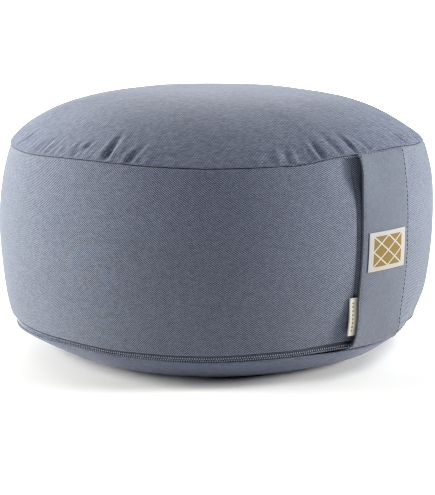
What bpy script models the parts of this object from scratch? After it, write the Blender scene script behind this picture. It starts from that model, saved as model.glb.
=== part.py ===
"""A round meditation cushion with a carry strap, in metres, +Z up.

The cushion stands on its flat base, with its upright axis on Z. The carry strap
is centred on +X. Angles are in degrees round Z, from +X towards +Y. Radii are
measured from Z. Tables and most sizes are in millimetres.
"""
import math
from collections import namedtuple

import bmesh
import bpy

MM = 0.001

# ---- driving dimensions (mm) ----
SEAM_RADIUS = 141.4        # top seam, where the band meets the top panel
FOLD_RADIUS = 141.3        # the band's lower fold, above the zip
BASE_RADIUS = 138.0        # widest part of the base panel, just under its upper edge
BASE_LIP = 1.0             # how far the base panel rolls in and up over that radius
BAND_BULGE = 8.3           # how far the band bellies past the line between its seams
MEAN_SEAM_HEIGHT = 142.7
CROWN_RISE = 31.6          # from the mean top seam to the middle of the top panel
CROWN_FLATNESS = 3.44      # the larger, the flatter the middle of the crown
CROWN_SHARPNESS = 1.0      # the smaller, the steeper the crown at its seam
BASE_CURVE = 2.05          # how late the base panel turns up towards its rim
LEAN = 0.014               # sideways shift for each millimetre of height: it leans 0.8 degrees
LEAN_ANGLE = 43.0          # the side to which it leans
CLOTH = 1.5                # thickness of a cloth panel
GAP = 0.35                 # clearance between pieces that touch
CROWN_CLEARANCE = 0.9      # between the filling and the puckered top panel
BASE_CLEARANCE = 0.5       # between the filling and the base panel
TAG_CLEARANCE = 0.5        # between the tag's hidden end and the strap
SEAM_LIP = 0.5             # half of the top seam's groove, on the panel's side
SEAM_DROP = 1.4            # the band's side of that groove
SEAM_TURN = (1.6, 0.5)     # how far in and down the band's upper edge turns below the top panel
FOLD_TURN = (0.9, 1.2)     # how far in and how high the band's lower fold is rounded
SEWN = 0.2                 # opening of the bottom seam where it is sewn shut
SEWN_PULL = 2.4            # how far the sewn seam draws the band's foot in
PULL_START = 0.8           # share of the band's height, from the top, where that begins
SEWN_WALL = ((136.6, 2.6), (135.3, 1.98))  # filling behind it: radius, height over the base's edge
ZIP_SPAN = (-160.0, -5.0)  # the stretch of the bottom seam that the zip closes
ZIP_OPENING = 3.6          # opening of the seam at which the zip shows in full
TAPE_TOP = (139.2, -0.5)   # radius, and height over the band's fold
TAPE_FOOT = (136.7, 0.75)  # radius, and height over the base panel's edge
TAPE_THICKNESS = 1.0
TAPE_BACKING = (0.5, 0.4)  # how far the filling runs past the tape's top, and its clearance
COIL_THICKNESS = 1.5
COIL_CREST = 0.25          # how far its two rows stand over the line between them
COIL_WIDTH = 3.1
COIL_SHORT = 1.0           # degrees of bare tape at each end
STRAP_WIDTH = 46.4
STRAP_THICKNESS = 1.6
STRAP_ROUND = 0.6          # rounding of its folded edges
LABEL_WIDTH = 37.2
LABEL_HEIGHT = 25.1
LABEL_CENTRE = (-1.0, 83.4)  # across the strap, and above the floor
LABEL_THICKNESS = 1.0
TAG_HEIGHT = 24.7
TAG_SHOWN = 5.9            # width of the tag left of the strap
TAG_HIDDEN = 4.5           # width of the tag under the strap
TAG_FOOT = 30.4            # height of its lower edge above the floor
TAG_THICKNESS = 1.0

# ---- the shape of a pucker ----
CREASE_TIGHTNESS = 2.2     # the larger, the narrower the crease in its width
RIDGE_SHARE = 0.28         # height of the ridge at each side, as a share of the depth
PUCKER_REACH = 2.5         # where the ridges end, in widths
PUCKER_PEAK = 0.6          # the smaller, the nearer to the seam it is deepest
SWING_REACH = 1.25         # columns this near, in widths, swing with the crease

# ---- mesh density ----
SMOOTH_BELOW = 50.0        # edges under this angle are shaded smooth
BODY_COLUMNS = 72
CROWN_RADII = (22.0, 52.0, 76.0, 95.0)
RIM_RADII = (109.0, 118.5, 126.0, 131.5, 136.0, 139.3)
BAND_LEVELS = (0.0, 0.05, 0.12, 0.22, 0.34, 0.48, 0.62, 0.74, 0.85, 0.93, 1.0)
BASE_RADII = (109.0, 115.5, 121.5, 127.0, 131.5, 135.2)
WIDEST_FILL = 5.0          # degrees between columns where no pucker lies

# ---- tables ----
TopSeam = namedtuple("TopSeam", "angle height shoulder")
TOP_SEAM = (
    TopSeam(-166, 142.6, 0.9),
    TopSeam(-134, 140.3, 2.7),
    TopSeam(-110, 139.7, 0.8),
    TopSeam(-84, 141.8, 0.0),
    TopSeam(-50, 140.4, -0.4),
    TopSeam(-28, 141.2, 0.0),
    TopSeam(-13, 145.0, 0.0),
    TopSeam(6, 146.5, 0.0),
    TopSeam(24, 144.6, 0.0),
    TopSeam(50, 139.2, 1.55),
    TopSeam(76, 140.8, -0.6),
    TopSeam(104, 141.4, 0.5),
    TopSeam(150, 142.8, 0.8),
)
# flat is the radius of the part of the base that rests on the floor
BottomSeam = namedtuple("BottomSeam", "angle height opening flat")
BOTTOM_SEAM = (
    BottomSeam(-167, 17.6, SEWN, 94),
    BottomSeam(-160, 17.4, 4.2, 93),
    BottomSeam(-122, 17.1, 6.4, 88.5),
    BottomSeam(-104, 18.4, 5.0, 87),
    BottomSeam(-89, 19.1, 4.2, 95),
    BottomSeam(-74, 17.9, 4.2, 100),
    BottomSeam(-50, 17.5, 4.4, 102),
    BottomSeam(-30, 18.5, 5.0, 100),
    BottomSeam(-13, 18.6, 6.6, 98),
    BottomSeam(-3, 18.0, 6.6, 97),
    BottomSeam(5, 18.2, SEWN, 98),
    BottomSeam(14, 19.9, SEWN, 96),
    BottomSeam(24, 23.5, SEWN, 90),
    BottomSeam(33, 21.8, SEWN, 88),
    BottomSeam(44, 19.5, SEWN, 90),
    BottomSeam(60, 18.3, SEWN, 96),
    BottomSeam(112, 17.7, SEWN, 99),
    BottomSeam(158, 18.3, SEWN, 97),
)
# depth, width and length in mm; lean is how far the crease swings, in degrees
Pucker = namedtuple("Pucker", "angle depth width length lean")
PUCKERS = (
    Pucker(-153.0, 1.8, 4.2, 17, 0.8),
    Pucker(-141.0, 2.2, 4.6, 20, -0.6),
    Pucker(-133.5, 1.1, 3.4, 12, 0.0),
    Pucker(-117.0, 1.3, 4.0, 14, 0.6),
    Pucker(-101.2, 1.4, 3.6, 14, 0.0),
    Pucker(-86.8, 1.8, 4.0, 15, 2.4),
    Pucker(-81.6, 1.0, 2.8, 8, 0.7),
    Pucker(-76.8, 3.0, 4.4, 25, -0.2),
    Pucker(-69.9, 2.1, 4.0, 18, 2.6),
    Pucker(-28.6, 0.9, 3.0, 10, 0.0),
    Pucker(-23.8, 1.2, 3.0, 11, 0.0),
    Pucker(-19.2, 2.6, 4.6, 17, -0.4),
    Pucker(-14.0, 2.0, 5.0, 24, -0.8),
    Pucker(-8.8, 2.4, 3.6, 20, -0.6),
    Pucker(14.6, 2.0, 4.0, 19, -0.5),
    Pucker(28.0, 1.0, 3.4, 11, 0.0),
    Pucker(43.0, 2.3, 4.4, 20, 0.9),
    Pucker(49.5, 1.3, 3.2, 12, 0.4),
    Pucker(68.0, 1.7, 4.0, 16, -1.2),
    Pucker(88.0, 0.9, 3.4, 10, 0.0),
    Pucker(97.0, 2.7, 4.6, 22, 0.6),
    Pucker(103.5, 1.5, 3.4, 14, 0.9),
    Pucker(121.0, 1.1, 3.8, 12, -0.4),
    Pucker(139.0, 2.1, 4.4, 19, -0.8),
    Pucker(146.0, 1.4, 3.4, 13, 0.0),
    Pucker(163.0, 1.0, 3.4, 11, 0.5),
    Pucker(181.0, 2.5, 4.6, 21, 0.4),
    Pucker(188.0, 1.3, 3.2, 12, 0.0),
)
PUCKER_OFFSETS = (-1.2, -0.5, 0.0, 0.5, 1.2)  # columns across a pucker, in widths
# broad dents in the band: depth and half_height in mm, half_angle in degrees; below 0 it swells
Hollow = namedtuple("Hollow", "angle height depth half_angle half_height")
HOLLOWS = (
    Hollow(-10.8, 135.0, 2.4, 4.6, 13.0),
    Hollow(12.5, 134.0, 1.2, 4.0, 11.0),
    Hollow(-77.0, 128.0, 0.7, 9.0, 16.0),
    Hollow(-101.0, 44.0, 0.6, 10.0, 16.0),
    Hollow(-24.0, 46.0, 0.5, 9.0, 15.0),
    Hollow(96.0, 127.0, 0.8, 8.0, 16.0),
    Hollow(150.0, 50.0, 0.6, 10.0, 17.0),
    Hollow(48.0, 122.0, -1.7, 24.0, 22.0),
    Hollow(48.0, 66.0, 0.7, 24.0, 22.0),
    Hollow(-140.0, 122.0, -0.3, 30.0, 22.0),
    Hollow(-140.0, 66.0, 0.8, 30.0, 22.0),
)
# clearance between the band and the strap at its left edge, middle and right edge
Station = namedtuple("Station", "height left middle right")
STRAP = (
    Station(145.9, 1.2, 0.6, 0.8),
    Station(144.4, 2.7, 0.8, 1.3),
    Station(140.6, 3.4, 0.8, 1.6),
    Station(134.0, 3.4, 0.8, 1.6),
    Station(126.0, 2.4, 0.6, 1.2),
    Station(116.0, 1.6, 0.5, 1.0),
    Station(104.0, 1.0, 0.5, 0.7),
    Station(90.0, 0.6, 0.5, 0.5),
    Station(76.0, 0.9, 0.5, 0.7),
    Station(63.0, 1.8, 0.6, 0.9),
    Station(52.0, 2.7, 0.8, 1.1),
    Station(41.0, 3.6, 1.1, 1.4),
    Station(30.0, 4.8, 2.2, 3.0),
    Station(24.0, 4.2, 2.0, 2.8),
    Station(20.8, 1.7, 0.9, 1.2),
    Station(19.4, -1.2, -1.3, -1.2),
)

COLOURS = {  # base colour, roughness
    "side_band": ((0.155, 0.180, 0.235), 0.92),
    "top_panel": ((0.160, 0.186, 0.242), 0.92),
    "base_panel": ((0.150, 0.174, 0.228), 0.92),
    "carry_strap": ((0.152, 0.177, 0.232), 0.88),
    "zip_tape": ((0.110, 0.130, 0.175), 0.85),
    "zip_coil": ((0.200, 0.228, 0.285), 0.45),
    "strap_label": ((0.800, 0.770, 0.740), 0.60),
    "side_tag": ((0.820, 0.800, 0.740), 0.60),
}


# ---- reading the tables ----
def smooth(share):
    """0 to 1 with level ends, from a share between 0 and 1."""
    share = min(max(share, 0.0), 1.0)
    return share * share * (3.0 - 2.0 * share)


def blend(low, high, share):
    """The value at a share of the way from low to high."""
    return low + (high - low) * share


def around(rows, column, angle):
    """One column of a table of angles, read all round the cushion with smooth steps."""
    turned = (angle - rows[0].angle) % 360.0 + rows[0].angle
    here = max(i for i, row in enumerate(rows) if row.angle <= turned)
    after = (here + 1) % len(rows)
    span = (rows[after].angle - rows[here].angle) % 360.0
    share = smooth((turned - rows[here].angle) / span)
    return blend(getattr(rows[here], column), getattr(rows[after], column), share)


def seam_height(angle):
    """Height of the top seam."""
    return around(TOP_SEAM, "height", angle)


def base_edge(angle):
    """Height of the base panel's upper edge."""
    return around(BOTTOM_SEAM, "height", angle)


def fold_height(angle):
    """Height of the band's lower fold."""
    return base_edge(angle) + around(BOTTOM_SEAM, "opening", angle)


def zip_share(angle):
    """1 where the bottom seam opens for the zip, 0 where it is sewn shut."""
    opening = around(BOTTOM_SEAM, "opening", angle)
    return min(max((opening - SEWN) / (ZIP_OPENING - SEWN), 0.0), 1.0)


def flat_radius(angle):
    """Radius of the part of the base that rests on the floor."""
    return around(BOTTOM_SEAM, "flat", angle)


# ---- the cushion's surfaces ----
def plain_crown(radius, angle):
    """Height of the top panel's outer face without its puckers."""
    part = min(radius / SEAM_RADIUS, 1.0)
    dome = CROWN_RISE * (1.0 - part ** CROWN_FLATNESS) ** CROWN_SHARPNESS
    rise = (seam_height(angle) - MEAN_SEAM_HEIGHT) * part ** 3
    bump = 4.0 * part ** 4 * (1.0 - part ** 4) * around(TOP_SEAM, "shoulder", angle)
    return MEAN_SEAM_HEIGHT + SEAM_LIP + dome + rise + bump


def pucker_ramp(pucker, radius):
    """How deep a pucker is at a radius: 0 at the seam and at its inner end, 1 between."""
    along = (SEAM_RADIUS - radius) / pucker.length
    if not 0.0 < along < 1.0:
        return 0.0
    return math.sin(math.pi * along ** PUCKER_PEAK)


def pucker_angle(pucker, radius):
    """The crease's own angle at a radius."""
    return pucker.angle + pucker.lean * smooth((SEAM_RADIUS - radius) / pucker.length)


def pucker_shape(across):
    """Cross-section of a crease with a low ridge at each side; across is in widths."""
    crease = -math.exp(-(CREASE_TIGHTNESS * across) ** 2)
    ridges = RIDGE_SHARE * math.exp(-(CREASE_TIGHTNESS * (abs(across) - 1.0)) ** 2)
    return crease + ridges


def crown(radius, angle):
    """Height of the top panel's outer face, puckers included."""
    height = plain_crown(radius, angle)
    for pucker in PUCKERS:
        turn = (angle - pucker_angle(pucker, radius) + 180.0) % 360.0 - 180.0
        across = math.radians(turn) * radius / pucker.width
        if abs(across) < PUCKER_REACH:
            height += pucker.depth * pucker_ramp(pucker, radius) * pucker_shape(across)
    return height


def under_crown(radius, angle):
    """Height of the filling just under the top panel and its deepest puckers."""
    slope = plain_crown(radius - 1.0, angle) - plain_crown(radius, angle)
    deepest = max(pucker.depth * pucker_ramp(pucker, radius) for pucker in PUCKERS)
    return plain_crown(radius, angle) - CLOTH * math.hypot(1.0, slope) - CROWN_CLEARANCE - deepest


def belly_radius(angle, height):
    """Radius of the band's outer face at a height without its hollows."""
    top = seam_height(angle) - SEAM_DROP
    foot = fold_height(angle)
    down = min(max((top - height) / (top - foot), 0.0), 1.0)
    bulge = 4.0 * BAND_BULGE * down * (1.0 - down)
    pull = SEWN_PULL * (1.0 - zip_share(angle)) * smooth((down - PULL_START) / (1.0 - PULL_START))
    return blend(SEAM_RADIUS, FOLD_RADIUS, down) + bulge - pull


def band_radius(angle, height):
    """Radius of the band's outer face at a height."""
    radius = belly_radius(angle, height)
    for hollow in HOLLOWS:
        turn = (angle - hollow.angle + 180.0) % 360.0 - 180.0
        far = math.hypot(turn / hollow.half_angle, (height - hollow.height) / hollow.half_height)
        radius -= hollow.depth * math.exp(-far * far)
    return radius


def base_face(radius, angle):
    """Height of the base panel's outer face."""
    flat = flat_radius(angle)
    part = min(max((radius - flat) / (BASE_RADIUS - flat), 0.0), 1.0)
    return (base_edge(angle) - BASE_LIP) * part ** BASE_CURVE


def over_base(radius, angle):
    """Height of the filling just above the base panel."""
    slope = base_face(radius + 0.5, angle) - base_face(radius - 0.5, angle)
    return base_face(radius, angle) + CLOTH * math.hypot(1.0, slope) + BASE_CLEARANCE


# ---- the slot for the zip, as points (radius, height) ----
def tape_ends(angle):
    """Upper and lower end of the tape's outer face."""
    top = (TAPE_TOP[0], fold_height(angle) + TAPE_TOP[1])
    foot = (TAPE_FOOT[0], base_edge(angle) + TAPE_FOOT[1])
    return top, foot


def tape_frame(angle):
    """Unit vectors up along the tape and out of its face."""
    (top_r, top_z), (low_r, low_z) = tape_ends(angle)
    length = math.hypot(top_r - low_r, top_z - low_z)
    along = ((top_r - low_r) / length, (top_z - low_z) / length)
    return along, (along[1], -along[0])


def slot_wall(angle):
    """Upper and lower point of the filling behind the tape or the sewn seam."""
    along, out = tape_frame(angle)
    past, clearance = TAPE_BACKING
    walls = []
    for end, sewn, run in zip(tape_ends(angle), SEWN_WALL, (past, 0.0)):
        shut = (sewn[0], base_edge(angle) + sewn[1])
        back = TAPE_THICKNESS + clearance
        behind = [end[i] - back * out[i] + run * along[i] for i in range(2)]
        walls.append([blend(shut[i], behind[i], zip_share(angle)) for i in range(2)])
    return walls


# ---- meshes ----
def at(radius, angle, height):
    """A point in metres from cylinder coordinates in millimetres, with the cushion's lean."""
    turn, side = math.radians(angle), math.radians(LEAN_ANGLE)
    x = radius * math.cos(turn) + LEAN * height * math.cos(side)
    y = radius * math.sin(turn) + LEAN * height * math.sin(side)
    return (x * MM, y * MM, height * MM)


def even_angles(count):
    """Angles of evenly spaced columns."""
    return [360.0 * i / count - 180.0 for i in range(count)]


def ring(bm, points):
    """A closed loop of edges through points."""
    verts = [bm.verts.new(point) for point in points]
    return [bm.edges.new((a, b)) for a, b in zip(verts, verts[1:] + verts[:1])]


def bridge(bm, one, other):
    """Faces between two closed loops with the same or another count of points."""
    bmesh.ops.bridge_loops(bm, edges=one + other)


def skin(bm, one, points):
    """The next ring of a lofted surface, joined to the last one column by column."""
    grown = bmesh.ops.extrude_edge_only(bm, edges=one)["geom"]
    edges = [item for item in grown if isinstance(item, bmesh.types.BMEdge)]
    column = bm.verts.layers.int["column"]
    ends = {item for item in grown if isinstance(item, bmesh.types.BMVert)}
    for vert in ends:
        vert.co = points[vert[column]]
    return [edge for edge in edges if edge.verts[0] in ends and edge.verts[1] in ends]


def number_columns(bm, loop):
    """Writes each vertex's place in its ring, which extruded copies keep."""
    column = bm.verts.layers.int["column"]
    verts = [edge.verts[0] for edge in loop]
    for place, vert in enumerate(verts):
        vert[column] = place


def material(name):
    """The piece's own Principled material."""
    colour, roughness = COLOURS[name]
    made = bpy.data.materials.new(name)
    made.use_nodes = True
    shader = made.node_tree.nodes["Principled BSDF"]
    shader.inputs["Base Color"].default_value = (*colour, 1.0)
    shader.inputs["Roughness"].default_value = roughness
    shader.inputs["Metallic"].default_value = 0.0
    made.diffuse_color = (*colour, 1.0)
    return made


def finish(name, bm):
    """A named object in the scene from a finished bmesh, with its normals outward."""
    bmesh.ops.recalc_face_normals(bm, faces=bm.faces[:])
    mesh = bpy.data.meshes.new(name)
    bm.to_mesh(mesh)
    bm.free()
    mesh.shade_smooth()
    mesh.set_sharp_from_angle(angle=math.radians(SMOOTH_BELOW))
    mesh.materials.append(material(name))
    piece = bpy.data.objects.new(name, mesh)
    bpy.context.scene.collection.objects.link(piece)
    return piece


def thicken(piece, thickness):
    """Gives a sheet its thickness behind its outer face."""
    solid = piece.modifiers.new("Thickness", "SOLIDIFY")
    solid.thickness = thickness * MM
    solid.offset = -1.0
    return piece


def new_bmesh():
    """An empty bmesh whose vertices can hold their column."""
    bm = bmesh.new()
    bm.verts.layers.int.new("column")
    return bm


def patch(name, columns, rows, place, thickness):
    """A rectangular sheet: place(u, v) gives the outer face's point for shares u and v."""
    bm = new_bmesh()
    bmesh.ops.create_grid(bm, x_segments=columns, y_segments=rows, size=0.5)
    for vert in bm.verts:
        vert.co = place(vert.co.x + 0.5, vert.co.y + 0.5)
    piece = finish(name, bm)
    out = sum((face.normal.dot(face.center) for face in piece.data.polygons), 0.0)
    if out < 0.0:
        piece.data.flip_normals()
    return thicken(piece, thickness)


# ---- the pieces ----
def column_angles():
    """Columns of the top panel: five at each pucker, evenly filled between puckers."""
    angles = sorted(
        pucker.angle + math.degrees(offset * pucker.width / SEAM_RADIUS)
        for pucker in PUCKERS
        for offset in PUCKER_OFFSETS
    )
    filled = []
    for here, after in zip(angles, angles[1:] + [angles[0] + 360.0]):
        steps = max(1, math.ceil((after - here) / WIDEST_FILL))
        filled += [blend(here, after, i / steps) for i in range(steps)]
    return filled


def column_lean(angle, radius):
    """How far a column swings at a radius: it follows the pucker that it belongs to."""
    for pucker in PUCKERS:
        reach = math.degrees(SWING_REACH * pucker.width / SEAM_RADIUS)
        if abs((angle - pucker.angle + 180.0) % 360.0 - 180.0) <= reach:
            return pucker_angle(pucker, radius) - pucker.angle
    return 0.0


def make_top_panel():
    """The domed cloth disc with radial puckers at its rim."""
    bm = new_bmesh()
    angles = even_angles(BODY_COLUMNS)
    loop = ring(bm, [at(CROWN_RADII[0], a, crown(CROWN_RADII[0], a)) for a in angles])
    number_columns(bm, loop)
    bmesh.ops.contextual_create(bm, geom=loop)
    for radius in CROWN_RADII[1:]:
        loop = skin(bm, loop, [at(radius, a, crown(radius, a)) for a in angles])
    angles = column_angles()
    rim = ring(bm, [at(RIM_RADII[0], a, crown(RIM_RADII[0], a)) for a in angles])
    number_columns(bm, rim)
    bridge(bm, loop, rim)
    for radius in RIM_RADII[1:] + (SEAM_RADIUS,):
        swung = [a + column_lean(a, radius) for a in angles]
        rim = skin(bm, rim, [at(radius, a, crown(radius, a)) for a in swung])
    return thicken(finish("top_panel", bm), CLOTH)


def make_side_band():
    """The filled body, whose open face is the bulging band between the two seams."""
    bm = new_bmesh()
    angles = even_angles(BODY_COLUMNS)
    radii = CROWN_RADII + RIM_RADII[:-1]
    loop = ring(bm, [at(radii[0], a, under_crown(radii[0], a)) for a in angles])
    number_columns(bm, loop)
    bmesh.ops.contextual_create(bm, geom=loop)
    for radius in radii[1:]:
        loop = skin(bm, loop, [at(radius, a, under_crown(radius, a)) for a in angles])
    turned, sunk = SEAM_RADIUS - SEAM_TURN[0], SEAM_DROP + SEAM_TURN[1]
    loop = skin(bm, loop, [at(turned, a, seam_height(a) - sunk) for a in angles])
    for level in BAND_LEVELS:
        points = []
        for angle in angles:
            foot = fold_height(angle) + FOLD_TURN[1]
            height = blend(seam_height(angle) - SEAM_DROP, foot, level)
            points.append(at(band_radius(angle, height), angle, height))
        loop = skin(bm, loop, points)
    folds = [blend(BASE_RADIUS, FOLD_RADIUS - FOLD_TURN[0], zip_share(a)) for a in angles]
    loop = skin(bm, loop, [at(fold, a, fold_height(a)) for fold, a in zip(folds, angles)])
    for end in range(2):
        walls = [slot_wall(a)[end] for a in angles]
        loop = skin(bm, loop, [at(wall[0], a, wall[1]) for a, wall in zip(angles, walls)])
    for radius in BASE_RADII[-2::-1]:
        loop = skin(bm, loop, [at(radius, a, over_base(radius, a)) for a in angles])
    loop = skin(bm, loop, [at(flat_radius(a), a, CLOTH + BASE_CLEARANCE) for a in angles])
    bmesh.ops.contextual_create(bm, geom=loop)
    return finish("side_band", bm)


def make_base_panel():
    """The cloth disc under the cushion: flat in the middle, turned up at its rim."""
    bm = new_bmesh()
    angles = even_angles(BODY_COLUMNS)
    loop = ring(bm, [at(flat_radius(a), a, 0.0) for a in angles])
    number_columns(bm, loop)
    bmesh.ops.contextual_create(bm, geom=loop)
    for radius in BASE_RADII + (BASE_RADIUS,):
        loop = skin(bm, loop, [at(radius, a, base_face(radius, a)) for a in angles])
    skin(bm, loop, [at(BASE_RADIUS - 0.9 * BASE_LIP, a, base_edge(a)) for a in angles])
    piece = finish("base_panel", bm)
    if piece.data.polygons[0].normal.z > 0.0:
        piece.data.flip_normals()
    return thicken(piece, CLOTH)


def make_zip():
    """The tape in the slot and the closed coil on the tape."""
    start, end = ZIP_SPAN
    columns = round((end - start) * BODY_COLUMNS / 360.0)

    def on_tape(angle, up, out):
        top, low = tape_ends(angle)
        away = tape_frame(angle)[1]
        radius, height = (blend(low[i], top[i], up) + out * away[i] for i in range(2))
        return at(radius, angle, height)

    def tape_point(u, v):
        return on_tape(blend(start, end, u), v, 0.0)

    def coil_point(u, v):
        angle = blend(start + COIL_SHORT, end - COIL_SHORT, u)
        top, low = tape_ends(angle)
        half = 0.5 * COIL_WIDTH / math.dist(top, low)
        crest = COIL_CREST * math.cos(2.0 * math.pi * (v - 0.5)) ** 2
        return on_tape(angle, 0.5 + half * (2.0 * v - 1.0), GAP + COIL_THICKNESS - crest)

    patch("zip_tape", columns, 1, tape_point, TAPE_THICKNESS)
    patch("zip_coil", columns, 4, coil_point, COIL_THICKNESS - COIL_CREST)


def strap_radius(across, height, out=0.0):
    """Radius of the strap's inner face, out millimetres further out; across is -1 to 1."""
    rows = sorted(STRAP, key=lambda row: row.height)
    here = max(i for i, row in enumerate(rows[:-1]) if row.height <= height or i == 0)
    below, above = rows[here], rows[here + 1]
    share = min(max((height - below.height) / (above.height - below.height), 0.0), 1.0)
    left, middle, right = (blend(getattr(below, name), getattr(above, name), share)
                           for name in ("left", "middle", "right"))
    side = left if across < 0.0 else right
    return belly_radius(0.0, height) + blend(middle, side, across * across) + out


def strap_point(across, height, out):
    """A point over the strap: across is -1 to 1, out is measured from its inner face."""
    aside = 0.5 * STRAP_WIDTH * across
    radius = strap_radius(across, height, out)
    return at(radius, math.degrees(math.asin(aside / radius)), height)


def make_carry_strap():
    """The folded strip over the band, caught in both seams."""
    def place(u, v):
        row = STRAP[round(v * (len(STRAP) - 1))]
        return strap_point(2.0 * u - 1.0, row.height, STRAP_THICKNESS)

    strap = patch("carry_strap", 6, len(STRAP) - 1, place, STRAP_THICKNESS)
    edges = strap.modifiers.new("Folded edges", "BEVEL")
    edges.width = STRAP_ROUND * MM
    edges.segments = 2
    edges.limit_method = "ANGLE"
    edges.angle_limit = math.radians(60.0)
    return strap


def make_strap_label():
    """The woven label on the strap, bare."""
    centre, height = LABEL_CENTRE
    out = STRAP_THICKNESS + GAP + LABEL_THICKNESS

    def place(u, v):
        across = (centre + (u - 0.5) * LABEL_WIDTH) / (0.5 * STRAP_WIDTH)
        return strap_point(across, height + (v - 0.5) * LABEL_HEIGHT, out)

    patch("strap_label", 6, 4, place, LABEL_THICKNESS)


def make_side_tag():
    """The ribbon tag whose hidden end lies against the back of the strap's left edge."""
    edge = -0.5 * STRAP_WIDTH

    def place(u, v):
        aside = blend(edge - TAG_SHOWN, edge + TAG_HIDDEN, u)
        height = TAG_FOOT + v * TAG_HEIGHT
        radius = strap_radius(-min(aside / edge, 1.0), height, -TAG_CLEARANCE)
        return at(radius, math.degrees(math.asin(aside / radius)), height)

    patch("side_tag", 4, 5, place, TAG_THICKNESS)


def main():
    """Empties the scene and builds every piece."""
    for old in list(bpy.data.objects):
        bpy.data.objects.remove(old, do_unlink=True)
    make_top_panel()
    make_side_band()
    make_base_panel()
    make_zip()
    make_carry_strap()
    make_strap_label()
    make_side_tag()


if __name__ == "__main__":
    main()
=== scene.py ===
"""Looks of a round meditation cushion with a carry strap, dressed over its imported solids.

The cushion stands on its flat base, with its upright axis on Z and the strap on +X. Angles are in
degrees round Z, from +X towards +Y. Sizes are in millimetres unless a name or comment says
otherwise, and every finished mesh is in metres.
"""
from __future__ import annotations

import logging
import math
from collections.abc import Callable, Iterable, Sequence
from dataclasses import dataclass, field
from enum import Enum
from functools import cache, partial, reduce
from itertools import pairwise
from typing import NamedTuple

import bmesh
import bpy
from mathutils import Matrix, Vector, noise

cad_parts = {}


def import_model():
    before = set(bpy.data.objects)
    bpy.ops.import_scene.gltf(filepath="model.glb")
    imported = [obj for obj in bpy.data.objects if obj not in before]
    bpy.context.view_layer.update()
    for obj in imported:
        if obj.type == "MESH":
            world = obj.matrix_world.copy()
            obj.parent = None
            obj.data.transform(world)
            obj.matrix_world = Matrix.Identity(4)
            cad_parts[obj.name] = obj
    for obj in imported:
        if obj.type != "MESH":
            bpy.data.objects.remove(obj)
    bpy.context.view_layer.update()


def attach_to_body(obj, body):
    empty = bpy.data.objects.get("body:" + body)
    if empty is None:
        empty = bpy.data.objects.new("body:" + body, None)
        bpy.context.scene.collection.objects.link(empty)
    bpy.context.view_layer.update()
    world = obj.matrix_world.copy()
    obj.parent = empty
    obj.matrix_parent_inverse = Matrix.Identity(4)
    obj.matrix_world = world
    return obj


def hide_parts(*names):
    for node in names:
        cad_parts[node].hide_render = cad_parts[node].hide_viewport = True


log = logging.getLogger("cushion")

MM = 0.001
ROOT_BODY = "root"
UV_NAME = "cloth"
MERGE_DISTANCE = 1e-6  # metres
SLOPE_STEP = 1.0  # distance over which a slope is measured

Rgb = tuple[float, float, float]
Point = tuple[float, float]
Ring = Callable[[float], Point]  # from an angle to a radius and a height
Surface = Callable[[float, float], float]  # from a radius and an angle to a height
Line = Callable[[float], float]  # from an angle to a height


# ---- tables
class TopSeam(NamedTuple):
    """One place on the top seam: its height, and how full the crown's shoulder is there."""

    angle: float
    height: float
    shoulder: float


class BottomSeam(NamedTuple):
    """One place on the bottom seam: the base's edge, the slot's opening, the flat's radius."""

    angle: float
    height: float
    opening: float
    flat: float


class Pucker(NamedTuple):
    """A radial crease in the top panel's rim; lean is how far it swings, in degrees."""

    angle: float
    depth: float
    width: float
    length: float
    lean: float


class Hollow(NamedTuple):
    """A broad dent in the band, or a swell where depth is below 0; half_angle is in degrees."""

    angle: float
    height: float
    depth: float
    half_angle: float
    half_height: float


class Station(NamedTuple):
    """Clearance between the band and the strap at its left edge, middle and right edge."""

    height: float
    left: float
    middle: float
    right: float


SHUT = 0.2  # opening where the bottom seam is sewn shut

TOP_SEAM = tuple(TopSeam(*row) for row in (
    (-166, 142.6, 0.9), (-134, 140.3, 2.7), (-110, 139.7, 0.8), (-84, 141.8, 0.0),
    (-50, 140.4, -0.4), (-28, 141.2, 0.0), (-13, 145.0, 0.0), (6, 146.5, 0.0),
    (24, 144.6, 0.0), (50, 139.2, 1.55), (76, 140.8, -0.6), (104, 141.4, 0.5),
    (150, 142.8, 0.8),
))
BOTTOM_SEAM = tuple(BottomSeam(*row) for row in (
    (-163.5, 17.5, SHUT, 94), (-160, 17.4, 4.2, 93), (-122, 17.1, 6.4, 88.5),
    (-104, 18.4, 5.0, 87), (-89, 19.1, 4.2, 95), (-74, 17.9, 4.2, 100),
    (-50, 17.5, 4.4, 102), (-30, 18.5, 5.0, 100), (-13, 18.6, 6.6, 98),
    (-3, 18.0, 6.6, 97), (5, 18.2, SHUT, 98), (14, 19.9, SHUT, 96),
    (24, 23.5, SHUT, 90), (33, 21.8, SHUT, 88), (44, 19.5, SHUT, 90),
    (60, 18.3, SHUT, 96), (112, 17.7, SHUT, 99), (158, 18.3, SHUT, 97),
))
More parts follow.
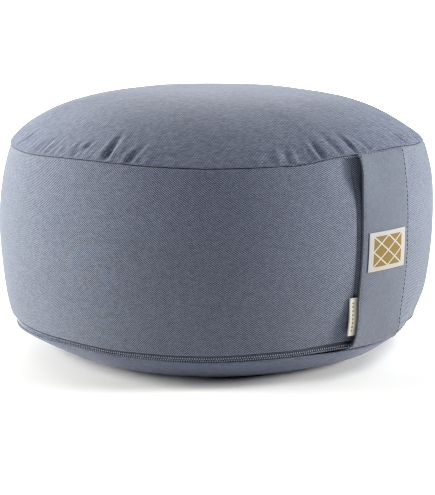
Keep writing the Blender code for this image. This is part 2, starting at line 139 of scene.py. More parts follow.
PUCKERS = tuple(Pucker(*row) for row in (
    (-153.0, 1.8, 4.2, 17, 0.8), (-141.0, 2.2, 4.6, 20, -0.6), (-133.5, 1.1, 3.4, 12, 0.0),
    (-117.0, 1.3, 4.0, 14, 0.6), (-101.2, 1.4, 3.6, 14, 0.0), (-86.8, 1.8, 4.0, 15, 2.4),
    (-81.6, 1.0, 2.8, 8, 0.7), (-76.8, 3.0, 4.4, 25, -0.2), (-69.9, 2.1, 4.0, 18, 2.6),
    (-28.6, 0.9, 3.0, 10, 0.0), (-23.8, 1.2, 3.0, 11, 0.0), (-19.2, 2.6, 4.6, 17, -0.4),
    (-14.0, 2.0, 5.0, 24, -0.8), (-8.8, 2.4, 3.6, 20, -0.6), (14.6, 2.0, 4.0, 19, -0.5),
    (28.0, 1.0, 3.4, 11, 0.0), (43.0, 2.3, 4.4, 20, 0.9), (49.5, 1.3, 3.2, 12, 0.4),
    (68.0, 1.7, 4.0, 16, -1.2), (88.0, 0.9, 3.4, 10, 0.0), (97.0, 2.7, 4.6, 22, 0.6),
    (103.5, 1.5, 3.4, 14, 0.9), (121.0, 1.1, 3.8, 12, -0.4), (139.0, 2.1, 4.4, 19, -0.8),
    (146.0, 1.4, 3.4, 13, 0.0), (163.0, 1.0, 3.4, 11, 0.5), (181.0, 2.5, 4.6, 21, 0.4),
    (188.0, 1.3, 3.2, 12, 0.0),
))
HOLLOWS = tuple(Hollow(*row) for row in (
    (-10.8, 135.0, 2.4, 4.6, 13.0), (12.5, 134.0, 1.2, 4.0, 11.0),
    (-77.0, 128.0, 0.7, 9.0, 16.0), (-101.0, 44.0, 0.6, 10.0, 16.0),
    (-24.0, 46.0, 0.5, 9.0, 15.0), (96.0, 127.0, 0.8, 8.0, 16.0),
    (150.0, 50.0, 0.6, 10.0, 17.0), (48.0, 122.0, -1.7, 24.0, 22.0),
    (48.0, 66.0, 0.7, 24.0, 22.0), (-140.0, 122.0, -0.3, 30.0, 22.0),
    (-140.0, 66.0, 0.8, 30.0, 22.0),
))
STRAP_STATIONS = tuple(Station(*row) for row in (
    (19.4, -1.2, -1.3, -1.2), (20.8, 1.7, 0.9, 1.2), (24.0, 4.2, 2.0, 2.8),
    (30.0, 4.8, 2.2, 3.0), (41.0, 3.6, 1.1, 1.4), (52.0, 1.6, 0.8, 1.1),
    (63.0, 1.0, 0.6, 0.9), (76.0, 0.8, 0.5, 0.7), (90.0, 0.7, 0.5, 0.5),
    (104.0, 0.8, 0.5, 0.7), (116.0, 1.3, 0.5, 1.0), (126.0, 2.2, 0.6, 1.2),
    (134.0, 3.4, 0.8, 1.6), (140.6, 3.4, 0.8, 1.6), (144.4, 2.7, 0.8, 1.3),
    (145.9, 1.2, 0.6, 0.8),
))
STRAP_FOOT, STRAP_TOP = STRAP_STATIONS[0].height, STRAP_STATIONS[-1].height


# ---- small helpers
def clamp(share: float) -> float:
    """A share held between 0 and 1."""
    return min(max(share, 0.0), 1.0)


def smooth(share: float) -> float:
    """0 to 1 with level ends, from a share between 0 and 1."""
    share = clamp(share)
    return share * share * (3.0 - 2.0 * share)


def hump(share: float) -> float:
    """0 at both ends of a share from 0 to 1, and 1 in its middle."""
    return 4.0 * share * (1.0 - share)


def bell(*distances: float) -> float:
    """1 where all distances are 0, falling smoothly to 0 around."""
    return math.exp(-sum(distance * distance for distance in distances))


def blend(low: float, high: float, share: float) -> float:
    """The value at a share of the way from low to high."""
    return low + (high - low) * share


def spread(first: float, last: float, count: int) -> list[float]:
    """Evenly spaced values from first to last."""
    return [blend(first, last, i / (count - 1)) for i in range(count)]


def turn_between(angle: float, middle: float) -> float:
    """Signed turn from middle to angle, from -180 to 180 degrees."""
    return (angle - middle + 180.0) % 360.0 - 180.0


def polar(radius: float, angle: float, height: float) -> Vector:
    """A point from a radius, an angle in degrees and a height."""
    turn = math.radians(angle)
    return Vector((radius * math.cos(turn), radius * math.sin(turn), height))


def around(rows: Sequence[NamedTuple], column: str, angle: float) -> float:
    """Reads one column of a table of angles all round the cushion, with smooth steps.

    Args:
        rows: the table, in order of angle.
        column: the name of the value that is read.
        angle: where it is read, in degrees.

    Returns:
        The value between the two rows beside the angle.
    """
    turned = (angle - rows[0].angle) % 360.0 + rows[0].angle
    here = max(i for i, row in enumerate(rows) if row.angle <= turned)
    after = (here + 1) % len(rows)
    span = (rows[after].angle - rows[here].angle) % 360.0
    share = smooth((turned - rows[here].angle) / span)
    return blend(getattr(rows[here], column), getattr(rows[after], column), share)


# ---- the cushion's form
@dataclass(frozen=True)
class CushionForm:
    """The filled cushion's outer surfaces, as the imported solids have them, with finer unevenness.

    Its methods take radii and heights in millimetres and angles in degrees, and give millimetres
    unless they say otherwise.
    """

    seam_radius: float = 141.4
    fold_radius: float = 141.3
    base_radius: float = 138.0
    base_lip: float = 1.0
    band_bulge: float = 8.3
    mean_seam_height: float = 142.7
    crown_rise: float = 31.6
    crown_flatness: float = 3.44
    crown_fade: float = 12.0
    tilt_power: int = 3
    shoulder_power: int = 4
    base_curve: float = 2.05
    lean: float = 0.014
    lean_angle: float = 43.0
    cloth: float = 1.5
    gap: float = 0.35
    seam_lip: float = 0.5
    seam_drop: float = 1.4
    sewn_pull: float = 2.4
    pull_start: float = 0.8
    zip_opening: float = 3.6
    crease_tightness: float = 2.2
    ridge_share: float = 0.34
    pucker_reach: float = 2.5
    pucker_peak: float = 0.6
    pucker_narrowing: float = 0.97
    pucker_easing: float = 0.52
    gather_depth: float = 1.3
    gather_size: float = 3.6
    gather_reach: float = 15.0
    gather_spread: float = 8.0
    press_aside: float = -24.5
    press_depth: float = 1.5
    press_width: float = 1.0
    press_reach: float = 3.0
    press_ease: float = 10.0
    press_span: Point = (24.0, 138.0)
    lump_size: float = 34.0
    lump_depth: float = 0.45

    @cache
    def seam_height(self, angle: float) -> float:
        """Height of the top seam."""
        return around(TOP_SEAM, "height", angle)

    @cache
    def shoulder(self, angle: float) -> float:
        """How full the crown is just inside its seam."""
        return around(TOP_SEAM, "shoulder", angle)

    @cache
    def base_edge(self, angle: float) -> float:
        """Height of the base panel's upper edge."""
        return around(BOTTOM_SEAM, "height", angle)

    @cache
    def opening(self, angle: float) -> float:
        """Height of the slot between the base panel's edge and the band's lower fold."""
        return around(BOTTOM_SEAM, "opening", angle)

    @cache
    def flat_radius(self, angle: float) -> float:
        """Radius of the part of the base that rests on the floor."""
        return around(BOTTOM_SEAM, "flat", angle)

    def fold_height(self, angle: float) -> float:
        """Height of the band's lower fold."""
        return self.base_edge(angle) + self.opening(angle)

    def zip_share(self, angle: float) -> float:
        """1 where the bottom seam opens for the zip, 0 where it is sewn shut."""
        return clamp((self.opening(angle) - SHUT) / (self.zip_opening - SHUT))

    def lumps(self, radius: float, angle: float, height: float) -> float:
        """Soft unevenness of the filling under the cloth."""
        return self.lump_depth * noise.noise(polar(radius, angle, height) / self.lump_size)

    def plain_crown(self, radius: float, angle: float) -> float:
        """Height of the top panel's outer face without its puckers."""
        part = min(radius / self.seam_radius, 1.0)
        dome = self.crown_rise * (1.0 - part ** self.crown_flatness)
        tilt = (self.seam_height(angle) - self.mean_seam_height) * part ** self.tilt_power
        bump = hump(part ** self.shoulder_power) * self.shoulder(angle)
        return self.mean_seam_height + self.seam_lip + dome + tilt + bump

    def crown_stretch(self, radius: float, angle: float) -> float:
        """How much longer than its radius the crown's slope is at a place."""
        inside = max(radius - SLOPE_STEP, 0.0)
        drop = self.plain_crown(inside, angle) - self.plain_crown(radius, angle)
        return math.hypot(1.0, drop / SLOPE_STEP)

    def pucker_ramp(self, pucker: Pucker, radius: float) -> float:
        """How deep a pucker is at a radius: 0 at the seam and at its inner end, 1 between."""
        along = (self.seam_radius - radius) / pucker.length
        return math.sin(math.pi * along ** self.pucker_peak) if 0.0 < along < 1.0 else 0.0

    def pucker_shape(self, across: float) -> float:
        """Cross-section of a crease with a low ridge at each side; across is in widths."""
        ridge = self.ridge_share * bell(self.crease_tightness * (abs(across) - 1.0))
        return ridge - bell(self.crease_tightness * across)

    def puckering(self, radius: float, angle: float) -> float:
        """Adds up the creases in the top panel's rim.

        Args:
            radius: the place's radius.
            angle: its angle.

        Returns:
            How far the panel's face moves up there.
        """
        moved = 0.0
        for pucker in PUCKERS:
            swing = pucker.lean * smooth((self.seam_radius - radius) / pucker.length)
            turn = turn_between(angle, pucker.angle + swing)
            across = math.radians(turn) * radius / (pucker.width * self.pucker_narrowing)
            if abs(across) < self.pucker_reach:
                depth = pucker.depth * self.pucker_easing
                moved += depth * self.pucker_ramp(pucker, radius) * self.pucker_shape(across)
        return moved

    @cache
    def gathered(self, angle: float) -> float:
        """How much of the cloth is eased into the top seam at an angle, from 0 to 1."""
        return max(bell(turn_between(angle, row.angle) / self.gather_spread) for row in PUCKERS)

    def gathers(self, radius: float, angle: float) -> float:
        """Small waves of the eased cloth just inside the top seam."""
        inside = (self.seam_radius - radius) / self.gather_reach
        if not 0.0 < inside < 1.0:
            return 0.0
        ramp = math.sin(math.pi * inside ** self.pucker_peak) * self.gathered(angle)
        spot = polar(self.seam_radius / self.gather_size, angle, inside)
        return self.gather_depth * ramp * noise.noise(spot)

    def crown(self, radius: float, angle: float) -> float:
        """Height of the top panel's outer face, puckers and unevenness included."""
        fade = smooth((self.seam_radius - radius) / self.crown_fade)
        uneven = fade * self.lumps(radius, angle, 0.0)
        eased = self.puckering(radius, angle) + self.gathers(radius, angle)
        return self.plain_crown(radius, angle) + eased + uneven

    def crown_back(self, radius: float, angle: float) -> float:
        """Height of the top panel's hidden face, one cloth's thickness below."""
        return self.crown(radius, angle) - self.cloth * self.crown_stretch(radius, angle)

    def under_crown(self, radius: float, angle: float) -> float:
        """Height of the filling just under the top panel and its deepest puckers."""
        deepest = max(pucker.depth * self.pucker_ramp(pucker, radius) for pucker in PUCKERS)
        cover = self.cloth * self.crown_stretch(radius, angle) + self.gap + self.lump_depth
        return self.plain_crown(radius, angle) - cover - deepest

    def belly_radius(self, angle: float, height: float) -> float:
        """Radius of the band's outer face at a height without its hollows."""
        top = self.seam_height(angle) - self.seam_drop
        down = clamp((top - height) / (top - self.fold_height(angle)))
        start = (down - self.pull_start) / (1.0 - self.pull_start)
        pull = self.sewn_pull * (1.0 - self.zip_share(angle)) * smooth(start)
        plain = blend(self.seam_radius, self.fold_radius, down)
        return plain + self.band_bulge * hump(down) - pull

    def pressed_in(self, angle: float, height: float) -> float:
        """Reads the line that the taut strap's left edge presses into the band.

        Args:
            angle: the place's angle.
            height: its height above the floor.

        Returns:
            How deep the band is pressed in there.
        """
        aside = math.radians(turn_between(angle, 0.0)) * self.seam_radius
        far = (aside - self.press_aside) / self.press_width
        if abs(far) > self.press_reach:
            return 0.0
        low, high = self.press_span
        foot = smooth((height - low) / self.press_ease)
        top = smooth((high - height) / self.press_ease)
        return self.press_depth * foot * top * bell(far)

    def band_radius(self, angle: float, height: float) -> float:
        """Radius of the band's outer face at a height."""
        radius = self.belly_radius(angle, height) - self.pressed_in(angle, height)
        for hollow in HOLLOWS:
            turn = turn_between(angle, hollow.angle) / hollow.half_angle
            rise = (height - hollow.height) / hollow.half_height
            radius -= hollow.depth * bell(turn, rise)
        return radius

    def base_face(self, radius: float, angle: float) -> float:
        """Height of the base panel's outer face."""
        flat = self.flat_radius(angle)
        part = clamp((radius - flat) / (self.base_radius - flat))
        return (self.base_edge(angle) - self.base_lip) * part ** self.base_curve

    def base_back(self, radius: float, angle: float) -> float:
        """Height of the base panel's hidden face, one cloth's thickness above."""
        half = 0.5 * SLOPE_STEP
        rise = self.base_face(radius + half, angle) - self.base_face(radius - half, angle)
        return self.base_face(radius, angle) + self.cloth * math.hypot(1.0, rise / SLOPE_STEP)

    def over_base(self, radius: float, angle: float) -> float:
        """Height of the filling just above the base panel."""
        return self.base_back(radius, angle) + self.gap

    def at(self, radius: float, angle: float, height: float) -> Vector:
        """A point in metres from cylinder coordinates, with the cushion's lean."""
        turn, side = math.radians(angle), math.radians(self.lean_angle)
        x = radius * math.cos(turn) + self.lean * height * math.cos(side)
        y = radius * math.sin(turn) + self.lean * height * math.sin(side)
        return Vector((x, y, height)) * MM


# ---- shader building
class Nodes:
    """Short calls for the nodes of one tree."""

    def __init__(self, tree: bpy.types.NodeTree) -> None:
        """Keeps the tree."""
        self.tree = tree

    def feed(self, socket: bpy.types.NodeSocket, value: object) -> None:
        """Links a socket, or sets its value; a colour of three numbers is made opaque."""
        if isinstance(value, bpy.types.NodeSocket):
            self.tree.links.new(value, socket)
        elif socket.type == "RGBA":
            socket.default_value = (*value, 1.0)
        else:
            socket.default_value = value

    def put(self, node: bpy.types.Node, values: dict[str, object]) -> bpy.types.Node:
        """Feeds named inputs of a node."""
        for name, value in values.items():
            self.feed(node.inputs[name], value)
        return node

    def add(self, kind: str, *values: object, **properties: object) -> bpy.types.Node:
        """Adds a shader node.

        Args:
            kind: the node's type without its common first part.
            values: what feeds its first inputs, in order.
            properties: its own settings.

        Returns:
            The node.
        """
        node = self.tree.nodes.new("ShaderNode" + kind)
        for key, value in properties.items():
            setattr(node, key, value)
        for socket, value in zip(node.inputs, values):
            self.feed(socket, value)
        return node

    def math(self, operation: str, *values: object) -> bpy.types.NodeSocket:
        """A Math node of sockets or numbers."""
        return self.add("Math", *values, operation=operation).outputs[0]

    def mix(
        self, share: object, low: object, high: object, how: str = "MIX"
    ) -> bpy.types.NodeSocket:
        """A blend of two colours, of which high is the second one."""
        node = self.add("Mix", share, data_type="RGBA", blend_type=how)
        self.feed(node.inputs[6], low)
        self.feed(node.inputs[7], high)
        return node.outputs[2]

    def noise(self, vector: object, scale: float, detail: float = 2.0) -> bpy.types.NodeSocket:
        """Noise from 0 to 1 over a vector."""
        node = self.add("TexNoise")
        return self.put(node, {"Vector": vector, "Scale": scale, "Detail": detail}).outputs["Fac"]

    def object_place(self) -> bpy.types.NodeSocket:
        """The object's own coordinates, in metres."""
        return self.add("TexCoord").outputs["Object"]

    def cloth_place(self) -> bpy.types.NodeSocket:
        """The cloth's own coordinates, in metres."""
        return self.add("UVMap", uv_map=UV_NAME).outputs[0]

    def split(self, vector: object) -> Sequence[bpy.types.NodeSocket]:
        """The three parts of a vector."""
        return self.add("SeparateXYZ", vector).outputs

    def group(self, tree: bpy.types.NodeTree, values: dict[str, object]) -> bpy.types.Node:
        """A placed node group whose named inputs are fed."""
        return self.put(self.add("Group", node_tree=tree), values)


class Kind(Enum):
    """Kinds of group socket."""

    NUMBER = "NodeSocketFloat"
    VECTOR = "NodeSocketVector"


def new_group(
    name: str, inputs: dict[str, Kind], outputs: Sequence[str]
) -> tuple[Nodes, bpy.types.NodeOutputs, bpy.types.NodeInputs]:
    """Makes an empty node group with named sockets.

    Args:
        name: the group's name.
        inputs: names and kinds of its inputs.
        outputs: names of its outputs, all of them numbers.

    Returns:
        The group's node maker, the sockets that bring its inputs and those that take its outputs.
    """
    tree = bpy.data.node_groups.new(name, "ShaderNodeTree")
    for label, kind in inputs.items():
        tree.interface.new_socket(label, in_out="INPUT", socket_type=kind.value)
    for label in outputs:
        tree.interface.new_socket(label, in_out="OUTPUT", socket_type=Kind.NUMBER.value)
    inside = tree.nodes.new("NodeGroupInput").outputs
    return Nodes(tree), inside, tree.nodes.new("NodeGroupOutput").inputs


TWILL_REPEAT = 3.0  # yarns from rib to rib
WANDER_SCALE = 60.0  # the scale of the noise that shifts the yarns
YARN_ROUNDNESS = 0.3  # share of the ribs' height that the yarns' own roundness takes
BROAD_MOTTLE = (22.0, 3.0)  # noise scale and detail
FINE_MOTTLE = (260.0, 2.0)


@cache
def twill_group() -> bpy.types.NodeTree:
    """A two-and-one twill: yarns whose floats step by one yarn, so that they make diagonal ribs.

    Returns:
        A group that takes cloth coordinates, the yarn's width, the turn of the cloth and how far
        the yarns wander, and gives the ribs' height and a tone that differs from float to float.
    """
    nodes, inside, outside = new_group(
        "twill_weave",
        {"Cloth": Kind.VECTOR, "Yarn": Kind.NUMBER, "Turn": Kind.NUMBER, "Wander": Kind.NUMBER},
        ("Height", "Tone"),
    )
    turned = nodes.add("VectorRotate", rotation_type="Z_AXIS")
    nodes.put(turned, {"Vector": inside["Cloth"], "Angle": inside["Turn"]})
    scaled = nodes.add("VectorMath", turned.outputs[0], inside["Yarn"], operation="DIVIDE")
    across, along, _ = nodes.split(scaled.outputs[0])
    drift = nodes.math("SUBTRACT", nodes.noise(inside["Cloth"], WANDER_SCALE), 0.5)
    across = nodes.math("MULTIPLY_ADD", drift, inside["Wander"], across)
    yarn = nodes.math("FLOOR", across)
    inner = nodes.math("MULTIPLY_ADD", nodes.math("FRACT", across), 2.0, -1.0)
    bulge = nodes.math("SUBTRACT", 1.0, nodes.math("MULTIPLY", inner, inner))
    repeat = nodes.math("DIVIDE", nodes.math("ADD", along, yarn), TWILL_REPEAT)
    wave = nodes.math("COSINE", nodes.math("MULTIPLY", repeat, 2.0 * math.pi))
    crest = nodes.math("MULTIPLY_ADD", wave, -0.5, 0.5)
    body = nodes.math("MULTIPLY_ADD", bulge, YARN_ROUNDNESS, 1.0 - YARN_ROUNDNESS)
    nodes.feed(outside["Height"], nodes.math("MULTIPLY", crest, body))
    cell = nodes.add("CombineXYZ", yarn, nodes.math("FLOOR", repeat))
    white = nodes.add("TexWhiteNoise", cell.outputs[0], noise_dimensions="2D")
    nodes.feed(outside["Tone"], white.outputs["Value"])
    return nodes.tree


@cache
def mottle_group() -> bpy.types.NodeTree:
    """Soft and fine unevenness of a dyed cloth's shade.

    Returns:
        A group that takes object coordinates and gives a shade round 0.5.
    """
    nodes, inside, outside = new_group("dye_mottle", {"Place": Kind.VECTOR}, ("Shade",))
    broad = nodes.math("MULTIPLY", nodes.noise(inside["Place"], *BROAD_MOTTLE), 0.5)
    fine = nodes.noise(inside["Place"], *FINE_MOTTLE)
    nodes.feed(outside["Shade"], nodes.math("MULTIPLY_ADD", fine, 0.5, broad))
    return nodes.tree


@cache
def lozenge_group() -> bpy.types.NodeTree:
    """A woven field of lozenges that cloth-coloured lines part from one another.

    Returns:
        A group that takes a place on the cloth in millimetres, the field's half size, one
        lozenge's size and the lines' share of it, and gives 1 on the lozenges.
    """
    nodes, inside, outside = new_group(
        "lozenge_field",
        {"Place": Kind.VECTOR, "Half size": Kind.VECTOR, "Cell": Kind.VECTOR, "Line": Kind.NUMBER},
        ("Mask",),
    )
    cells = nodes.add("VectorMath", inside["Place"], inside["Cell"], operation="DIVIDE")
    steps = nodes.split(cells.outputs[0])
    clear = nodes.math("MULTIPLY_ADD", inside["Line"], -0.5, 0.5)
    masks = []
    for turn in ("ADD", "SUBTRACT"):
        slant = nodes.math("FRACT", nodes.math(turn, steps[0], steps[1]))
        edge = nodes.math("ABSOLUTE", nodes.math("SUBTRACT", slant, 0.5))
        masks.append(nodes.math("LESS_THAN", edge, clear))
    place, limits = nodes.split(inside["Place"]), nodes.split(inside["Half size"])
    for far, limit in zip(place[:2], limits[:2]):
        masks.append(nodes.math("LESS_THAN", nodes.math("ABSOLUTE", far), limit))
    nodes.feed(outside["Mask"], reduce(partial(nodes.math, "MULTIPLY"), masks))
    return nodes.tree


# ---- finishes
@dataclass(frozen=True)
class Finish:
    """A named look; each kind of finish sets up its own shader."""

    name: str

    def shade(self, nodes: Nodes, shader: bpy.types.Node) -> None:
        """Sets up the material's one shader.

        Args:
            nodes: the node maker of the material's tree.
            shader: its Principled shader.
        """
        raise NotImplementedError

    @cache
    def material(self) -> bpy.types.Material:
        """Makes the material once.

        Returns:
            The material that all pieces of this finish share.
        """
        made = bpy.data.materials.new(self.name)
        made.use_nodes = True
        self.shade(Nodes(made.node_tree), made.node_tree.nodes["Principled BSDF"])
        return made

    def dress(self, piece: bpy.types.Object) -> None:
        """Gives a piece this finish as its one material."""
        piece.data.materials.clear()
        piece.data.materials.append(self.material())


@dataclass(frozen=True)
class TwillFinish(Finish):
    """Matt cotton twill with a light fuzz, coloured light on its ribs' crests and dark in their
    grooves, which is painted shade; yarn and relief are in metres.
    """

    # light is the colour on the ribs' crests and dark the colour in their grooves; the darkening in
    # the grooves is painted shade, and the two also bound the tone that differs at random from
    # float to float
    light: Rgb = (0.223, 0.255, 0.332)
    dark: Rgb = (0.011, 0.014, 0.022)
    yarn: float = 0.000512
    turn: float = 0.0
    wander: float = 0.8
    relief: float = 0.00003
    roughness: float = 0.95
    specular: float = 0.2
    sheen: float = 0.17
    sheen_roughness: float = 0.5
    sheen_tint: Rgb = (0.92, 0.95, 0.98)
    float_tone: float = 0.2
    mottle: float = 0.5

    def shade(self, nodes: Nodes, shader: bpy.types.Node) -> None:
        """Colours the floats and ribs with painted shade in the grooves, mottles the dye and raises
        the ribs.
        """
        weave = nodes.group(twill_group(), {
            "Cloth": nodes.cloth_place(), "Yarn": self.yarn, "Turn": math.radians(self.turn),
            "Wander": self.wander,
        }).outputs
        mottle = nodes.group(mottle_group(), {"Place": nodes.object_place()}).outputs[0]
        # the ribs' height sets most of the colour, which paints shade into the grooves; the rest of
        # the tone differs at random from float to float
        height = nodes.math("MULTIPLY", weave["Height"], 1.0 - self.float_tone)
        tone = nodes.math("MULTIPLY_ADD", weave["Tone"], self.float_tone, height)
        weave_with_painted_shade = nodes.mix(tone, self.dark, self.light)
        shade = nodes.math("MULTIPLY_ADD", mottle, self.mottle, 1.0 - 0.5 * self.mottle)
        bump = nodes.put(nodes.add("Bump"), {"Distance": self.relief, "Height": weave["Height"]})
        nodes.put(shader, {
            "Roughness": self.roughness, "Specular IOR Level": self.specular,
            "Sheen Weight": self.sheen, "Sheen Roughness": self.sheen_roughness,
            "Sheen Tint": self.sheen_tint,
            "Base Color": nodes.mix(1.0, weave_with_painted_shade, shade, "MULTIPLY"), "Normal": bump.outputs[0],
        })


@dataclass(frozen=True)
class ThreadFinish(Finish):
    """Plain sewing thread, woven tape or moulded coil."""

    colour: Rgb
    roughness: float = 0.6
    mottled: float = 0.3
    mottle_scale: float = 900.0

    def shade(self, nodes: Nodes, shader: bpy.types.Node) -> None:
        """Sets a finely mottled colour."""
        grain = nodes.noise(nodes.object_place(), self.mottle_scale)
        dark = tuple(value * (1.0 - self.mottled) for value in self.colour)
        colour = nodes.mix(grain, dark, self.colour)
        nodes.put(shader, {"Roughness": self.roughness, "Base Color": colour})


@dataclass(frozen=True)
class MotifFinish(Finish):
    """Woven ribbon with a field of gold lozenges."""

    ground: Rgb
    half_size: Point
    cell: Point
    line: float
    middle: Point = (0.0, 0.0)
    gold: Rgb = (0.165, 0.112, 0.028)
    roughness: float = 0.75
    specular: float = 0.15
    grain_scale: float = 1.6
    grain_shade: float = 0.88

    def shade(self, nodes: Nodes, shader: bpy.types.Node) -> None:
        """Sets the ribbon's ground and the lozenges on it."""
        middle = tuple(value * MM for value in (*self.middle, 0.0))
        place = nodes.put(nodes.add("Mapping", vector_type="TEXTURE"), {
            "Vector": nodes.cloth_place(), "Location": middle, "Scale": (MM, MM, MM),
        }).outputs[0]
        mask = nodes.group(lozenge_group(), {
            "Place": place, "Half size": (*self.half_size, 0.0), "Cell": (*self.cell, 1.0),
            "Line": self.line,
        }).outputs[0]
        dark = tuple(self.grain_shade * value for value in self.ground)
        ground = nodes.mix(nodes.noise(place, self.grain_scale), dark, self.ground)
        nodes.put(shader, {
            "Roughness": self.roughness, "Specular IOR Level": self.specular,
            "Base Color": nodes.mix(mask, ground, self.gold),
        })


@dataclass(frozen=True)
class FloorFinish(Finish):
    """Pale seamless paper that glows more with its distance from the cushion, in metres."""

    colour: Rgb = (0.920, 0.925, 0.935)
    roughness: float = 0.9
    # the glow is light that the floor itself gives off, though it is no lamp
    glow_colour: Rgb = (0.82, 0.94, 1.15)
    glow: float = 1.83
    glow_span: Point = (0.45, 1.5)

    def shade(self, nodes: Nodes, shader: bpy.types.Node) -> None:
        """Sets the paper's colour and its growing glow."""
        far = nodes.add("VectorMath", nodes.object_place(), operation="LENGTH")
        near, end = self.glow_span
        glow = nodes.put(nodes.add("MapRange", interpolation_type="SMOOTHSTEP"), {
            "Value": far.outputs["Value"], "From Min": near, "From Max": end, "To Max": self.glow,
        })
        nodes.put(shader, {
            "Base Color": self.colour, "Roughness": self.roughness,
            "Emission Color": self.glow_colour, "Emission Strength": glow.outputs[0],
        })


# ---- meshes
def attach(piece: bpy.types.Object, node: str, finish: Finish) -> None:
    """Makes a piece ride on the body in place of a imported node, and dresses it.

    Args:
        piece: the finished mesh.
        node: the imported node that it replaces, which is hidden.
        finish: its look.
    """
    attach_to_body(piece, ROOT_BODY)
    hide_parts(node)
    finish.dress(piece)
    log.info("%s: %d faces", piece.name, len(piece.data.polygons))


def finish_mesh(name: str, bm: bmesh.types.BMesh, sharp: float = 45.0) -> bpy.types.Object:
    """Turns a bmesh into an object at the origin.

    Args:
        name: the piece's name.
        bm: its geometry in metres, which is freed.
        sharp: edges above this angle in degrees are shaded sharp.

    Returns:
        The new object, linked to the scene.
    """
    mesh = bpy.data.meshes.new(name)
    bm.to_mesh(mesh)
    bm.free()
    mesh.shade_smooth()
    mesh.set_sharp_from_angle(angle=math.radians(sharp))
    return linked(name, mesh)


def linked(name: str, data: bpy.types.ID) -> bpy.types.Object:
    """An object of some data, linked to the scene."""
    made = bpy.data.objects.new(name, data)
    bpy.context.scene.collection.objects.link(made)
    return made


def wrap_grid(
    name: str, columns: int, rows: int, place: Callable[[int, int], Vector],
    cloth: Callable[[int, int], Point],
) -> bpy.types.Object:
    """Wraps a grid of faces into a closed surface.

    Args:
        name: the piece's name.
        columns: number of faces along the grid.
        rows: number of faces across it.
        place: gives the place in metres of the vertex at a column and a row.
        cloth: gives its cloth coordinates in metres.

    Returns:
        The object, with its cloth coordinates in a UV map.
    """
    bm = bmesh.new()
    bmesh.ops.create_grid(bm, x_segments=columns, y_segments=rows, size=0.5)
    spots = {
        vert: (round((vert.co.x + 0.5) * columns), round((vert.co.y + 0.5) * rows))
        for vert in bm.verts
    }
    uv = bm.loops.layers.uv.new(UV_NAME)
    for face in bm.faces:
        for loop in face.loops:
            loop[uv].uv = cloth(*spots[loop.vert])
    for vert, spot in spots.items():
        vert.co = place(*spot)
    bmesh.ops.remove_doubles(bm, verts=bm.verts[:], dist=MERGE_DISTANCE)
    ends = [edge for edge in bm.edges if edge.is_boundary]
    bmesh.ops.holes_fill(bm, edges=ends, sides=0)
    bmesh.ops.recalc_face_normals(bm, faces=bm.faces[:])
    return finish_mesh(name, bm)


@dataclass
class Lathe:
    """A closed surface of rings round the upright axis, from one pole to the other.

    Where its cloth is a disc, the cloth's coordinates are measured from the first pole. Otherwise
    they run round the cushion and down.
    """

    name: str
    form: CushionForm
    disc: bool = False
    steps: int = 720
    rings: list[Ring] = field(default_factory=list)

    def cover(self, surface: Surface, radii: Iterable[float]) -> None:
        """Adds a ring of each radius on a surface."""
        self.rings += [lambda angle, r=radius: (r, surface(r, angle)) for radius in radii]

    def trace(self, line: Line, edge: Iterable[Point]) -> None:
        """Adds rings beside a line; edge holds their radii and their rises over it."""
        self.rings += [lambda angle, p=spot: (p[0], line(angle) + p[1]) for spot in edge]

    def level(self, height: float, *shares: float) -> None:
        """Adds level rings at shares of the flat's radius."""
        flat = self.form.flat_radius
        self.rings += [lambda angle, s=share: (s * flat(angle), height) for share in shares]

    def lengths(self) -> list[float]:
        """How far along the cloth each ring lies, measured down the first column."""
        lengths = [0.0]
        for here, after in pairwise(ring(0.0) for ring in self.rings):
            lengths.append(lengths[-1] + math.dist(here, after))
        return lengths

    def place(self, column: int, ring: int) -> Vector:
        """Place of a vertex; the last column lies on the first one."""
        angle = turn_between(360.0 * (column % self.steps) / self.steps, 0.0)
        radius, height = self.rings[ring](angle)
        return self.form.at(radius, angle, height)

    def cloth(self, lengths: Sequence[float], column: int, ring: int) -> Point:
        """Cloth coordinates of a vertex, in metres."""
        angle = 360.0 * column / self.steps
        if self.disc:
            return polar(lengths[ring] * MM, angle, 0.0).xy
        return (math.radians(angle) * self.form.seam_radius * MM, lengths[ring] * MM)

    def build(self) -> bpy.types.Object:
        """Wraps a grid round the axis, which closes its seam and both poles."""
        cloth = partial(self.cloth, self.lengths())
        return wrap_grid(self.name, self.steps, len(self.rings) - 1, self.place, cloth)


@dataclass
class Strip:
    """A closed strip of cloth swept along stations, with rounded edges."""

    name: str
    half_width: float
    thickness: float
    stations: Sequence[float]
    place: Callable[[float, float, float], Vector]
    station_length: float = 1.0
    face_points: int = 30
    edge_points: int = 5

    def section(self) -> list[Point]:
        """The strip's cross-section.

        Returns:
            Points (aside, out): along the outer face, round the right edge, back along the inner
            face and round the left edge.
        """
        radius = 0.5 * self.thickness
        flat = self.half_width - radius
        outer = [(aside, self.thickness) for aside in spread(-flat, flat, self.face_points)]
        turns = [math.pi * i / (self.edge_points + 1) for i in range(1, self.edge_points + 1)]
        right = [(flat + radius * math.sin(t), radius + radius * math.cos(t)) for t in turns]
        inner = [(-aside, 0.0) for aside, _ in outer]
        left = [(-aside, self.thickness - out) for aside, out in right]
        return outer + right + inner + left

    def build(self) -> bpy.types.Object:
        """Wraps a grid into the strip's cross-section and closes both ends.

        Returns:
            The closed strip, with its cloth coordinates in a UV map.
        """
        section, stations = self.section(), self.stations
        across = [section[0][0]]
        for here, after in pairwise((*section, section[0])):
            across.append(across[-1] + math.dist(here, after))
        return wrap_grid(
            self.name, len(stations) - 1, len(section),
            lambda row, spot: self.place(*section[spot % len(section)], stations[row]),
            lambda row, spot: (across[spot] * MM, stations[row] * self.station_length * MM),
        )


def frame_of(spot: Vector, along: Vector, rise: Vector, away: Vector) -> Matrix:
    """A frame at a spot with its three axes."""
    return Matrix.Translation(spot) @ Matrix((along, rise, away)).transposed().to_4x4()


